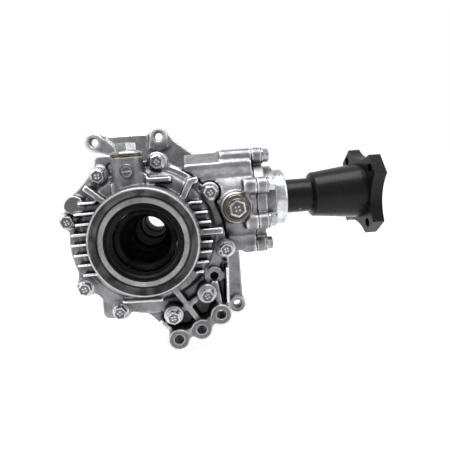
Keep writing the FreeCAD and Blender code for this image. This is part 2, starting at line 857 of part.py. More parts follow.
def bearing_form(bore_r, cup_r, width):
    """Shared lines of a tapered roller bearing whose small end is at zero."""
    height = cup_r - bore_r
    slope = math.tan(math.radians(TAPER))
    form = types.SimpleNamespace(width=width, bore_r=bore_r, cup_r=cup_r, slope=slope)
    form.small_r = 0.2 * height
    form.large_r = 0.225 * height
    form.middle = bore_r + 0.5 * height - 0.5 * width * slope
    form.roller_start = 0.12 * width
    form.roller_length = 0.72 * width
    return form


def race_line(form, side, distance):
    """Radius of a raceway at a distance from the small end; side is 1 outside, -1 inside."""
    share = (distance - form.roller_start) * (1 / form.roller_length)
    roller = form.small_r + (form.large_r - form.small_r) * share
    centre = form.middle + distance * form.slope
    return centre + side * (roller * (1 / math.cos(math.radians(TAPER))) + RUNNING_GAP)


def cup_outline(form):
    width = form.width
    return [
        (0.0, form.cup_r),
        (width, form.cup_r),
        (width, race_line(form, 1, width)),
        (0.0, race_line(form, 1, 0.0)),
    ]


def cone_outline(form):
    width = form.width
    tilt = math.radians(TAPER)
    rib = form.roller_start + form.roller_length * math.cos(tilt) + form.large_r * math.sin(tilt) + 0.25
    rib_r = form.middle + rib * form.slope - 0.2 * form.large_r
    return [
        (0.0, form.bore_r),
        (width, form.bore_r),
        (width, rib_r),
        (rib, rib_r),
        (rib, race_line(form, -1, rib)),
        (0.0, race_line(form, -1, 0.0)),
    ]


def roller_set(form, count):
    """Rollers and their cage about the Z axis, the small end at zero."""
    tilt = math.radians(TAPER)
    rollers = []
    windows = []
    for number in range(count):
        turn_z = FreeCAD.Rotation(Vector(0, 0, 1), 360 / count * number)
        lean = FreeCAD.Rotation(Vector(0, 1, 0), TAPER)
        radius = form.middle + form.roller_start * form.slope
        at = turn_z.multVec(Vector(radius, 0, form.roller_start))
        roller = Part.makeCone(form.small_r, form.large_r, form.roller_length)
        roller.Placement = FreeCAD.Placement(at, turn_z.multiply(lean))
        rollers.append(roller)
        half = form.large_r + 0.3
        corner = Vector(-half, -half, -0.3)
        window = Part.makeBox(2 * half, 2 * half, form.roller_length + 0.6, corner)
        window.Placement = roller.Placement
        windows.append(window)
    half = 0.5
    ends = (0.2, form.width - 0.5)
    mids = [form.middle + z * form.slope for z in ends]
    outline = [
        Vector(mids[0] - half, 0, ends[0]),
        Vector(mids[0] + half, 0, ends[0]),
        Vector(mids[1] + half, 0, ends[1]),
        Vector(mids[1] - half, 0, ends[1]),
    ]
    face = Part.Face(Part.makePolygon(outline + outline[:1]))
    band = face.revolve(Vector(0, 0, 0), Vector(0, 0, 1), 360)
    cage = band.cut(Part.makeCompound(windows))
    return rollers, cage


def build_bearing(label, axis, bore_r, cup_r, start, width, count, small_end_first):
    """Cup, cone, rollers and cage. Axis is input (measured forward) or output (along X)."""
    form = bearing_form(bore_r, cup_r - 0.05, width)
    sign = 1 if small_end_first else -1
    small_end = start if small_end_first else start + width
    for kind, outline in (("cup", cup_outline(form)), ("cone", cone_outline(form))):
        name = f"{label}_{kind}"
        placed_points = [(small_end + sign * along, radius) for along, radius in outline]
        if axis == "input":
            about_input(new_body(name), kind, [(r, forward) for forward, r in placed_points])
        else:
            about_own_x(on_output_axis(name), kind, placed_points)
    rollers, cage = roller_set(form, count)
    if axis == "input":
        direction, at = FORWARD * sign, Vector(0, -small_end, 0)
    else:
        direction, at = OUTWARD * sign, Vector(small_end, d.output_y, d.output_z)
    turned = FreeCAD.Placement(at, FreeCAD.Rotation(Vector(0, 0, 1), direction))
    for shape in rollers + [cage]:
        shape.Placement = turned.multiply(shape.Placement)
    group(f"{label}_rollers", rollers)
    group(f"{label}_cage", [cage])


def build_input_shaft():
    body = new_body("ring_gear_shaft")
    front_end = d.front_bearing_start
    pilot_end = d.ring_back + 15
    flange_rear = d.ring_back - d.gear_flange
    deep = d.shaft_front - d.mouth_depth
    rear = -d.shaft_rear
    about_input(
        body,
        "tube",
        [
            (d.mouth_r + 1.5, d.shaft_front),
            (d.journal_r - 0.8, d.shaft_front),
            (d.journal_r, d.shaft_front - 1.5),
            (d.journal_r, front_end),
            (d.shoulder_r, front_end),
            (d.shoulder_r, pilot_end + 2),
            (d.ring_bore_r - 0.05, pilot_end),
            (d.ring_bore_r - 0.05, d.ring_back),
            (d.gear_flange_r, d.ring_back),
            (d.gear_flange_r, flange_rear),
            (31, flange_rear),
            (31, d.cavity_back - 2),
            (d.rear_journal_r, d.cavity_back - 2),
            (d.rear_journal_r, -1),
            (d.spline_r, -6),
            (d.spline_r, rear + 1),
            (d.spline_r - 1, rear),
            (d.bore_r - 2 * d.bore_step + 0.6, rear),
            (d.bore_r - 2 * d.bore_step, rear + 4),
            (d.bore_r - 2 * d.bore_step, -5),
            (d.bore_r - d.bore_step, -5),
            (d.bore_r - d.bore_step, 31),
            (d.bore_r, 31),
            (d.bore_r, 75),
            (d.bore_r + 1.8, 75),
            (d.bore_r + 1.8, deep - 8),
            (d.mouth_r - 1.5, deep),
            (d.mouth_r, deep),
            (d.mouth_r, d.shaft_front - 1.5),
        ],
    )
    half = 1.3
    tip = d.spline_r + d.spline_depth
    tooth = [(d.spline_r - 1, -half), (tip, -0.6 * half), (tip, 0.6 * half), (d.spline_r - 1, half)]
    spline = add(body, "spline", "XZ", rear + 2, d.shaft_rear - 12, tooth)
    polar(body, spline, "Y", d.spline_teeth)
    holes = []
    for number in range(int(d.gear_bolts)):
        angle = 360.0 / int(d.gear_bolts) * number
        holes.append((d.gear_bolt_r * cosine(angle), d.gear_bolt_r * sine(angle), 3.6))
    cut(body, "gear_bolt_holes", "XZ", flange_rear - 1, d.gear_flange + 2, *holes)


def tooth_half(x, height):
    """Half the thickness of a gear tooth at X, height above its pitch line."""
    pitch = 2 * math.pi * x / d.ring_teeth
    return 0.25 * pitch - d.tooth_gap - height * math.tan(math.radians(20))


def build_gears():
    slope = d.pinion_teeth / d.ring_teeth
    inner, outer = d.tooth_inner, d.tooth_outer
    deep = d.tooth_root + 0.8

    def pitch_line(x):
        return -d.output_y - x * slope

    def reach(x):
        return root(x * x + d.output_z * d.output_z)

    ring = new_body("ring_gear")
    about_input(
        ring,
        "blank",
        [
            (d.ring_bore_r, d.ring_back),
            (reach(outer) + d.ring_edge - 2, d.ring_back),
            (reach(outer) + d.ring_edge, d.ring_back + 3),
            (reach(outer) + d.ring_edge, pitch_line(outer) - d.tooth_root - 0.4),
            (reach(inner), pitch_line(inner) - d.tooth_root),
            (d.ring_bore_r, pitch_line(inner) - d.tooth_root),
        ],
    )

    def ring_section(x):
        top, low = pitch_line(x) + d.tooth_tip, pitch_line(x) - deep
        wide, narrow = tooth_half(x, -deep), tooth_half(x, d.tooth_tip)
        z = d.output_z
        return [(-top, z - narrow), (-top, z + narrow), (-low, z + wide), (-low, z - wide)]

    tooth = loft(ring, "tooth", "YZ", (inner, ring_section(inner)), (outer, ring_section(outer)))
    polar(ring, tooth, "Y", d.ring_teeth)
    holes = []
    for number in range(int(d.gear_bolts)):
        angle = 360.0 / int(d.gear_bolts) * number
        holes.append((d.gear_bolt_r * cosine(angle), d.gear_bolt_r * sine(angle), 3.5))
    cut(ring, "bolt_holes", "XZ", d.ring_back - 1, 10, *holes)

    pinion = on_output_axis("drive_pinion")
    bearing = d.spigot_start + 1
    tail = d.cup_floor + 20
    about_own_x(
        pinion,
        "stem",
        [
            (inner - 2, 0),
            (inner - 2, inner * slope - d.tooth_root - 2),
            (inner, inner * slope - d.tooth_root),
            (outer, outer * slope - d.tooth_root),
            (outer + 3, d.pinion_r + 4),
            (bearing, d.pinion_r + 4),
            (bearing, d.pinion_r - 0.02),
            (d.outer_bearing_start + d.outer_bearing, d.pinion_r - 0.02),
            (d.outer_bearing_start + d.outer_bearing, d.pinion_r - 1),
            (d.cup_floor - 1, d.pinion_r - 1),
            (d.cup_floor - 1, d.pinion_r - 3),
            (tail, d.pinion_r - 3),
            (tail, 0),
        ],
    )
    shift = 180.0 / d.pinion_teeth

    def pinion_section(x):
        points = []
        for radius, side in ((d.tooth_tip, -1), (d.tooth_tip, 1), (-deep, 1), (-deep, -1)):
            half = side * tooth_half(x, radius)
            along = x * slope + radius
            y = along * cosine(shift) - half * sine(shift)
            z = along * sine(shift) + half * cosine(shift)
            points.append((y, z))
        return points

    ends = ((inner, pinion_section(inner)), (outer, pinion_section(outer)))
    polar(pinion, loft(pinion, "tooth", "YZ", *ends), "X", d.pinion_teeth)


def build_output_shaft():
    cone_end = d.spigot_start + 1 + d.inner_bearing
    spacer = on_output_axis("collapsible_spacer")
    inner, wall = d.pinion_r + 0.3, 2.0
    middle = (cone_end + d.outer_bearing_start) / 2
    about_own_x(
        spacer,
        "tube",
        [
            (cone_end, inner),
            (d.outer_bearing_start, inner),
            (d.outer_bearing_start, inner + wall),
            (middle + 3, inner + wall),
            (middle + 2, inner + wall + 1.5),
            (middle - 2, inner + wall + 1.5),
            (middle - 3, inner + wall),
            (cone_end, inner + wall),
        ],
    )
    flange = on_output_axis("companion_flange")
    plate_end = d.flange_back + d.flange_plate
    start = d.outer_bearing_start + d.outer_bearing
    about_own_x(
        flange,
        "sleeve",
        [
            (start, d.pinion_r - 0.95),
            (start, d.sleeve_r - 1),
            (start + 1, d.sleeve_r),
            (d.cone_start - 3, d.sleeve_r),
            (d.cone_start, d.cone_r - 1),
            (d.cone_start + 1, d.cone_r),
            (d.flange_back, d.cone_end_r),
            (plate_end, d.cone_end_r),
            (plate_end, d.cup_r + 4),
            (plate_end - 4, d.cup_r),
            (d.cup_floor, d.cup_r - 3),
            (d.cup_floor, d.pinion_r - 0.95),
        ],
    )
    edges = (45 - d.flange_cut, 45 + d.flange_cut)
    corners = [d.flange_turn + 90 * i + edge for i in range(4) for edge in edges]
    # Seen from outboard the flange is a square with cut corners and hollow sides.
    outline = [(-d.flange_corner_r * cosine(a), -d.flange_corner_r * sine(a)) for a in corners]
    bore = (0, 0, d.cup_r + 4.5)
    add(flange, "plate", "YZ", d.flange_back, d.flange_plate, outline, bore)
    near = d.flange_corner_r * cosine(45 - d.flange_cut)
    square = d.flange_corner_r * d.flange_corner_r - d.flange_waist_r * d.flange_waist_r
    offset = square / (2 * (near - d.flange_waist_r))
    quarters = [d.flange_turn + 90 * i for i in range(4)]
    hollow = offset - d.flange_waist_r
    sides = [(-offset * cosine(a), -offset * sine(a), hollow) for a in quarters]
    cut(flange, "hollow_sides", "YZ", d.flange_back - 1, 60, *sides)
    holes = []
    for number in range(4):
        angle = d.flange_turn + 45 + 90 * number
        reach = d.flange_bolt_circle_r
        holes.append((-reach * cosine(angle), -reach * sine(angle), d.flange_hole_r))
    cut(flange, "bolt_holes", "YZ", d.flange_back - 1, 60, *holes)
    dust = on_output_axis("dust_cover")
    wall = d.dust_wall
    about_own_x(
        dust,
        "cup",
        [
            (d.dust_start, d.dust_r - wall),
            (d.dust_start, d.dust_r),
            (d.dust_end - 2.5, d.dust_r),
            (d.dust_end - 0.8, d.dust_r - 0.8),
            (d.dust_end, d.dust_r - 2.8),
            (d.dust_end, d.sleeve_r + 0.05),
            (d.dust_end - 5, d.sleeve_r + 0.05),
            (d.dust_end - 5, d.sleeve_r + wall),
            (d.dust_end - wall, d.sleeve_r + wall),
            (d.dust_end - wall, d.dust_r - 3),
            (d.dust_end - 2.5, d.dust_r - wall),
        ],
    )
    washer = on_output_axis("pinion_washer")
    seat = d.cup_floor
    bore = d.pinion_r - 2.8
    section = [(seat, bore), (seat + 2.5, bore), (seat + 2.5, 17), (seat, 17)]
    about_own_x(washer, "disc", section)
    nut = on_output_axis("pinion_nut")
    add(nut, "nut_body", "YZ", seat + 2.5, 12, hexagon(0, 0, 27), (0, 0, d.pinion_r - 2.9))


def build_bearings():
    front = (d.journal_r + 0.02, d.front_cup_r, d.front_bearing_start, d.front_bearing)
    build_bearing("front_bearing", "input", *front, 20, False)
    rear = (d.rear_journal_r + 0.02, d.rear_cup_r, d.rear_bearing_start, d.rear_bearing)
    build_bearing("rear_bearing", "input", *rear, 16, True)
    inner = (d.pinion_r + 0.02, d.inner_cup_r, d.spigot_start + 1, d.inner_bearing)
    build_bearing("pinion_inner_bearing", "output", *inner, 12, False)
    outer = (d.pinion_r + 0.02, d.outer_cup_r, d.outer_bearing_start, d.outer_bearing)
    build_bearing("pinion_outer_bearing", "output", *outer, 12, True)


def write_parts():
    for item in document.Objects:
        if "Invalid" in item.State or "Error" in item.State:
            raise ValueError(f"{item.Label} failed: {item.State}")
    for item in document.Objects:
        if item.TypeId not in ("PartDesign::Body", "Part::Feature"):
            continue
        if item.Shape.isNull() or not item.Shape.isValid():
            raise ValueError(f"{item.Label} has a bad shape")
        item.Shape.exportStep(f"parts/{item.Label}.step")


build_main_case()
build_cover()
build_pinion_housing()
build_bolts()
build_plugs()
build_seals()
build_input_shaft()
build_gears()
build_output_shaft()
build_bearings()
document.recompute()
write_parts()
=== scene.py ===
import json
import math

import bmesh
import bpy
from mathutils import Matrix, Vector


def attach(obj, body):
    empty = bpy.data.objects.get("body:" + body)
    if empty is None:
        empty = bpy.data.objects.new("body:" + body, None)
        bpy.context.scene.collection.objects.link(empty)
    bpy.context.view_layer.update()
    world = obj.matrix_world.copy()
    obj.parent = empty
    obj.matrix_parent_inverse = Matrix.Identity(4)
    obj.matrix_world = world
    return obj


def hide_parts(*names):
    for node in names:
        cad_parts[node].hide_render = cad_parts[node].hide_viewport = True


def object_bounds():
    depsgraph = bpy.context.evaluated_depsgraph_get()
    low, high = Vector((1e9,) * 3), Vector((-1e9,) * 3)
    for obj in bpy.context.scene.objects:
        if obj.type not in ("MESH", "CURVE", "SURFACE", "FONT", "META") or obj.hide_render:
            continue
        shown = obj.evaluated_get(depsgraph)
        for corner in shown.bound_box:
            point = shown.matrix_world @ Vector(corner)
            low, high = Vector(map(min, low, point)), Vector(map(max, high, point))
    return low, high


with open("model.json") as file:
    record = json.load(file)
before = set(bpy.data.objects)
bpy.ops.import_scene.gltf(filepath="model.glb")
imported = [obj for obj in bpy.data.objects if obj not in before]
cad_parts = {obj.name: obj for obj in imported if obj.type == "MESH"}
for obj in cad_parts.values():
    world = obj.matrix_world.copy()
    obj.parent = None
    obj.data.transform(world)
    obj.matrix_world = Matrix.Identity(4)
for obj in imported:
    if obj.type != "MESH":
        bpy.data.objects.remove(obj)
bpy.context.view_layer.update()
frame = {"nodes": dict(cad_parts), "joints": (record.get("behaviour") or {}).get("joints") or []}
nodes = frame["nodes"]
jointPlaces = {joint["name"]: joint["pos_m"] for joint in frame["joints"]}
scene = bpy.context.scene
print("frame loaded:", len(nodes), "nodes")

mm = 0.001
weld = 0.001 * mm  # points nearer than this are one
outputY, outputZ = jointPlaces["pinion_spin"][1:]  # the line along X that the pinion turns about
forward = (0, -1, 0)
outward = (1, 0, 0)
upward = (0, 0, 1)


# Helpers for node trees

def newGroup(name, inputs, outputs):
    group = bpy.data.node_groups.new(name, "ShaderNodeTree")
    for label, kind, value in inputs:
        socket = group.interface.new_socket(name=label, in_out="INPUT", socket_type=kind)
        socket.default_value = value
    for label, kind in outputs:
        group.interface.new_socket(name=label, in_out="OUTPUT", socket_type=kind)
    start = group.nodes.new("NodeGroupInput")
    end = group.nodes.new("NodeGroupOutput")
    return group, start.outputs, end.inputs


def feed(tree, socket, value):
    # Links another node's output to the socket, or sets a plain value.
    if isinstance(value, bpy.types.NodeSocket):
        tree.links.new(value, socket)
    else:
        socket.default_value = value


def addNode(tree, kind, settings=None, **values):
    node = tree.nodes.new(kind)
    for key, value in (settings or {}).items():
        setattr(node, key, value)
    for key, value in values.items():
        feed(tree, node.inputs[key.replace("_", " ")], value)
    return node


def placeGroup(tree, group, **values):
    return addNode(tree, "ShaderNodeGroup", {"node_tree": group}, **values).outputs


def mathNode(tree, operation, *values, clamp=False):
    node = addNode(tree, "ShaderNodeMath", {"operation": operation, "use_clamp": clamp})
    for socket, value in zip(node.inputs, values):
        feed(tree, socket, value)
    return node.outputs[0]


def vectorNode(tree, operation, *values, out="Vector"):
    node = addNode(tree, "ShaderNodeVectorMath", {"operation": operation})
    for socket, value in zip(node.inputs, values):
        feed(tree, socket, value)
    return node.outputs[out]


def rangeNode(tree, value, low, high, outLow=0.0, outHigh=1.0):
    node = addNode(tree, "ShaderNodeMapRange", {"interpolation_type": "SMOOTHSTEP"}, Value=value,
                   From_Min=low, From_Max=high, To_Min=outLow, To_Max=outHigh)
    return node.outputs["Result"]


def objectPlace(tree):
    return addNode(tree, "ShaderNodeTexCoord").outputs["Object"]


def noiseNode(tree, **values):
    return addNode(tree, "ShaderNodeTexNoise", Vector=objectPlace(tree), **values).outputs["Fac"]


def anyOf(tree, masks):
    # One wherever one of the masks is.
    whole = masks[0]
    for mask in masks[1:]:
        whole = mathNode(tree, "MAXIMUM", whole, mask)
    return whole


def tinted(tree, color, tone):
    # A colour of three numbers, or another node's, made darker or brighter by a tone.
    node = addNode(tree, "ShaderNodeVectorMath", {"operation": "SCALE"}, Scale=tone)
    feed(tree, node.inputs[0], color)
    return node.outputs["Vector"]


def layered(tree, mask, below, above):
    # One colour over another, where the mask is.
    mix = addNode(tree, "ShaderNodeMix", {"data_type": "RGBA"}, Factor=mask, A=below, B=above)
    return mix.outputs["Result"]


def bumpInto(tree, shader, height, strength, distance):
    bump = addNode(tree, "ShaderNodeBump", Strength=strength, Distance=distance, Height=height)
    feed(tree, shader["Normal"], bump.outputs["Normal"])


# Shader groups

# Masks run from their first number to their second. Tones also have the two brightnesses
# that a noise between those numbers becomes.
ranges = {
    # The edge and crest masks place a painted highlight, the crease and corner masks painted shade.
    "edge": (0.99, 0.84),
    "crest": (0.512, 0.575),
    "crease": (0.488, 0.42),
    "corner": (0.12, 0.78),
    "stain": (0.32, 0.70, 0.68, 1.30),
    "grain": (0.3, 0.7, 0.86, 1.14),
    "streak": (0.35, 0.7, 0.86, 1.12),
    "cutRings": (0.3, 0.7, 0.75, 1.25),
    "bandRings": (0.3, 0.7, 0.7, 1.3),
    "bandOil": (0.35, 0.65, 0.5, 2.2),
    "paint": (0.3, 0.7, 0.6, 1.3),
}
castWearAndShade = {"creaseDirt": 0.7, "grainGloss": 0.35, "edgeGloss": -0.12, "stainHeight": 1.5}
faceLimits = {"off": 0.0004, "square": 0.98}  # metres off the plane, and the normal along its axis


def buildCastGroup():
    # Sand-blasted die casting: fine grain and slow stains, with a painted highlight on edges and
    # painted shade in corners and creases.
    inputs = [
        ("Base", "NodeSocketColor", (0.4, 0.4, 0.41, 1)),
        ("Edge", "NodeSocketColor", (0.8, 0.8, 0.82, 1)),
        ("Dirt", "NodeSocketColor", (0.05, 0.05, 0.052, 1)),
        ("Grain Scale", "NodeSocketFloat", 900.0),
        ("Roughness", "NodeSocketFloat", 0.45),
        ("Edge Width", "NodeSocketFloat", 0.0009),
        ("Dirt Amount", "NodeSocketFloat", 0.8),
        ("Dirt Reach", "NodeSocketFloat", 0.020),
        ("Crease Amount", "NodeSocketFloat", 0.0),
    ]
    outputs = [
        ("Color", "NodeSocketColor"),
        ("Roughness", "NodeSocketFloat"),
        ("Height", "NodeSocketFloat"),
    ]
    tree, start, end = newGroup("castSurface", inputs, outputs)
    grain = noiseNode(tree, Scale=start["Grain Scale"], Detail=4.0, Roughness=0.65)
    stain = noiseNode(tree, Scale=38.0, Detail=5.0, Roughness=0.6)
    streak = noiseNode(tree, Scale=120.0, Detail=3.0, Distortion=1.2)

    # Painted highlight: where the bevelled normal leans off the shading normal, the colour turns to
    # the pale edge colour.
    bevel = addNode(tree, "ShaderNodeBevel", {"samples": 6}, Radius=start["Edge Width"])
    geometry = addNode(tree, "ShaderNodeNewGeometry").outputs
    lean = vectorNode(tree, "DOT_PRODUCT", bevel.outputs["Normal"], geometry["Normal"], out="Value")
    edge = rangeNode(tree, lean, *ranges["edge"])

    # On the dense skins of the castings the curvature itself finds the edges, for a painted highlight,
    # and the creases, for painted shade.
    crest = rangeNode(tree, geometry["Pointiness"], *ranges["crest"])
    crest = mathNode(tree, "MULTIPLY", crest, start["Crease Amount"])
    edge = mathNode(tree, "MAXIMUM", edge, crest)
    crease = rangeNode(tree, geometry["Pointiness"], *ranges["crease"])
    crease = mathNode(tree, "MULTIPLY", crease, start["Crease Amount"])
    crease = mathNode(tree, "MULTIPLY", crease, castWearAndShade["creaseDirt"])

    # Painted shade: ambient occlusion and the creases darken the colour towards the near-black shade
    # colour.
    corner = addNode(tree, "ShaderNodeAmbientOcclusion", {"samples": 8}, Distance=start["Dirt Reach"])
    closed = mathNode(tree, "SUBTRACT", 1.0, corner.outputs["AO"])
    dark = mathNode(tree, "MAXIMUM", rangeNode(tree, closed, *ranges["corner"]), crease)
    paintedShade = mathNode(tree, "MULTIPLY", dark, start["Dirt Amount"])

    tone = rangeNode(tree, stain, *ranges["stain"])
    tone = mathNode(tree, "MULTIPLY", tone, rangeNode(tree, grain, *ranges["grain"]))
    tone = mathNode(tree, "MULTIPLY", tone, rangeNode(tree, streak, *ranges["streak"]))
    color = layered(tree, edge, tinted(tree, start["Base"], tone), start["Edge"])
    feed(tree, end["Color"], layered(tree, paintedShade, color, start["Dirt"]))

    wobble = mathNode(tree, "SUBTRACT", grain, 0.5)
    wobble = mathNode(tree, "MULTIPLY", wobble, castWearAndShade["grainGloss"])
    gloss = mathNode(tree, "ADD", start["Roughness"], wobble)
    worn = mathNode(tree, "MULTIPLY", edge, castWearAndShade["edgeGloss"])
    feed(tree, end["Roughness"], mathNode(tree, "ADD", gloss, worn, clamp=True))
    swell = mathNode(tree, "MULTIPLY", stain, castWearAndShade["stainHeight"])
    feed(tree, end["Height"], mathNode(tree, "ADD", grain, swell))
    return tree


def buildFaceGroup():
    # One where a face lies in a plane across the chosen axis.
    inputs = [("Along", "NodeSocketVector", (0, 1, 0)), ("Place", "NodeSocketFloat", 0.0)]
    tree, start, end = newGroup("machinedFace", inputs, [("Mask", "NodeSocketFloat")])
    normal = addNode(tree, "ShaderNodeNewGeometry").outputs["True Normal"]
    depth = vectorNode(tree, "DOT_PRODUCT", objectPlace(tree), start["Along"], out="Value")
    off = mathNode(tree, "ABSOLUTE", mathNode(tree, "SUBTRACT", depth, start["Place"]))
    near = mathNode(tree, "LESS_THAN", off, faceLimits["off"])
    facing = vectorNode(tree, "DOT_PRODUCT", normal, start["Along"], out="Value")
    square = mathNode(tree, "GREATER_THAN", mathNode(tree, "ABSOLUTE", facing), faceLimits["square"])
    feed(tree, end["Mask"], mathNode(tree, "MULTIPLY", near, square))
    return tree


def buildBandGroup():
    # One on a turned band about the Y axis, between two radii and ahead of a plane.
    inputs = [
        ("Inner", "NodeSocketFloat", 0.045),
        ("Outer", "NodeSocketFloat", 0.0525),
        ("Ahead", "NodeSocketFloat", 0.1464),
    ]
    tree, start, end = newGroup("machinedBand", inputs, [("Mask", "NodeSocketFloat")])
    where = objectPlace(tree)
    radius = vectorNode(tree, "LENGTH", vectorNode(tree, "MULTIPLY", where, (1, 0, 1)), out="Value")
    depth = vectorNode(tree, "DOT_PRODUCT", where, forward, out="Value")
    above = mathNode(tree, "GREATER_THAN", radius, start["Inner"])
    below = mathNode(tree, "LESS_THAN", radius, start["Outer"])
    ahead = mathNode(tree, "GREATER_THAN", depth, start["Ahead"])
    between = mathNode(tree, "MULTIPLY", above, below)
    feed(tree, end["Mask"], mathNode(tree, "MULTIPLY", between, ahead))
    return tree


def buildTurnedGroup():
    # Fine tool rings about a chosen axis, for faces and walls cut on a lathe.
    inputs = [
        ("Centre", "NodeSocketVector", (0, 0, 0)),
        ("Flatten", "NodeSocketVector", (1, 0, 1)),
        ("Along", "NodeSocketVector", (0, 1, 0)),
        ("Pitch", "NodeSocketFloat", 2600.0),
    ]
    tree, start, end = newGroup("turnedRings", inputs, [("Fac", "NodeSocketFloat")])
    moved = vectorNode(tree, "SUBTRACT", objectPlace(tree), start["Centre"])
    flat = vectorNode(tree, "MULTIPLY", moved, start["Flatten"])
    radius = vectorNode(tree, "LENGTH", flat, out="Value")
    depth = vectorNode(tree, "DOT_PRODUCT", moved, start["Along"], out="Value")
    pair = addNode(tree, "ShaderNodeCombineXYZ", X=radius, Y=depth).outputs["Vector"]
    lines = addNode(tree, "ShaderNodeTexNoise", Vector=pair, Scale=start["Pitch"], Detail=2.0,
                    Roughness=0.7)
    feed(tree, end["Fac"], lines.outputs["Fac"])
    return tree


castGroup = buildCastGroup()
faceGroup = buildFaceGroup()
bandGroup = buildBandGroup()
turnedGroup = buildTurnedGroup()
print("shader groups made")


# Materials

def newMaterial(name, metallic):
    material = bpy.data.materials.new(name)
    material.use_nodes = True
    tree = material.node_tree
    shader = tree.nodes["Principled BSDF"].inputs
    shader["Metallic"].default_value = metallic
    return material, tree, shader


def bandInto(tree, color, part, tint, turned):
    # Lays a turned tint over the masked part of a colour: an oily one on the hub's cut mouth, painted
    # shade in the shaft's bores.
    rings = placeGroup(tree, turnedGroup, **turned)["Fac"]
    oil = noiseNode(tree, Scale=60.0, Detail=4.0, Distortion=0.8)
    fine = rangeNode(tree, rings, *ranges["bandRings"])
    slow = rangeNode(tree, oil, *ranges["bandOil"])
    shade = tinted(tree, tint, mathNode(tree, "MULTIPLY", fine, slow))
    return layered(tree, part, color, shade)


nickLook = {"scale": 75.0, "chosenAbove": 0.80, "size": 0.075}


def nickInto(tree, color, tint):
    # A few bare spots where the coating is chipped.
    cells = addNode(tree, "ShaderNodeTexVoronoi", Vector=objectPlace(tree), Scale=nickLook["scale"])
    pick = addNode(tree, "ShaderNodeSeparateColor", Color=cells.outputs["Color"])
    chosen = mathNode(tree, "GREATER_THAN", pick.outputs["Red"], nickLook["chosenAbove"])
    small = mathNode(tree, "LESS_THAN", cells.outputs["Distance"], nickLook["size"])
    return layered(tree, mathNode(tree, "MULTIPLY", chosen, small), color, tint)


# The pale colour below is a painted highlight on edges, the near-black one painted shade in corners
# and creases.
castLook = {
    "creases": 0.95,
    "specular": 0.3,
    "shadeAmount": 0.92,
    "base": (0.170, 0.169, 0.180, 1),
    "edge": (0.78, 0.78, 0.80, 1),
    "paintedShade": (0.022, 0.022, 0.024, 1),
    # The machined colour is cut metal darkened as a painted reflection.
    "machinedAndReflection": (0.085, 0.085, 0.088),
    "machinedShare": 0.85,
    "turned": (0.028, 0.026, 0.026),
    "metallic": 0.72,
    "roughness": 0.36,
    "bump": 0.3,
    "bumpDepth": 0.0006,
}


def castMaterial(name, faces, turned, band=None):
    material, tree, shader = newMaterial(name, castLook["metallic"])
    cast = placeGroup(tree, castGroup, Base=castLook["base"], Edge=castLook["edge"],
                      Dirt=castLook["paintedShade"], Roughness=castLook["roughness"],
                      Crease_Amount=castLook["creases"], Dirt_Amount=castLook["shadeAmount"])
    planes = [placeGroup(tree, faceGroup, Along=along, Place=place)["Mask"] for along, place in faces]
    rings = placeGroup(tree, turnedGroup, **turned)["Fac"]
    # Cut faces: real tool rings on a colour darkened as a painted reflection.
    cutFaceAndReflection = tinted(tree, castLook["machinedAndReflection"], rangeNode(tree, rings, *ranges["cutRings"]))
    flat = mathNode(tree, "MULTIPLY", anyOf(tree, planes), castLook["machinedShare"])
    color = layered(tree, flat, cast["Color"], cutFaceAndReflection)
    if band:
        part = placeGroup(tree, bandGroup, **band)["Mask"]
        color = bandInto(tree, color, part, castLook["turned"], turned)
    feed(tree, shader["Base Color"], color)
    feed(tree, shader["Roughness"], cast["Roughness"])
    bumpInto(tree, shader, cast["Height"], castLook["bump"], castLook["bumpDepth"])
    shader["Specular IOR Level"].default_value = castLook["specular"]
    return material


# What every metal or rubber finish has unless its own look says otherwise.
plainLook = {"grainScale": 500.0, "edgeWidth": 0.0005, "shadeAmount": 0.6, "shadeReach": 0.010,
             "specular": 0.5, "bumpDepth": 0.0003, "castShare": 0.3}


def metalMaterial(name, ownLook, turned=None, bands=()):
    look = {**plainLook, **ownLook}
    material, tree, shader = newMaterial(name, look["metallic"])
    cast = placeGroup(tree, castGroup, Base=look["base"], Edge=look["edge"], Dirt=look["paintedShade"],
                      Roughness=look["roughness"], Grain_Scale=look["grainScale"],
                      Edge_Width=look["edgeWidth"], Dirt_Amount=look["shadeAmount"],
                      Dirt_Reach=look["shadeReach"])
    color, roughness, height = cast["Color"], cast["Roughness"], cast["Height"]
    if "nicks" in look:
        color = nickInto(tree, color, look["nicks"])
    # Painted shade: the bands tint a bore near black and make it plain and rough there.
    if bands:
        parts = [placeGroup(tree, bandGroup, **band)["Mask"] for band in bands]
        for part in parts:
            color = bandInto(tree, color, part, look["bandShade"], turned)
        shadedBands = anyOf(tree, parts)
        metal = rangeNode(tree, shadedBands, 0.0, 1.0, look["metallic"], look["bandedMetallic"])
        feed(tree, shader["Metallic"], metal)
        dull = mathNode(tree, "MULTIPLY", shadedBands, look["bandedRoughness"])
        roughness = mathNode(tree, "MAXIMUM", roughness, dull)
    if turned:
        rings = placeGroup(tree, turnedGroup, **turned)["Fac"]
        height = mathNode(tree, "ADD", mathNode(tree, "MULTIPLY", height, look["castShare"]), rings)
    feed(tree, shader["Base Color"], color)
    feed(tree, shader["Roughness"], roughness)
    bumpInto(tree, shader, height, look["bump"], look["bumpDepth"])
    shader["Specular IOR Level"].default_value = look["specular"]
    return material


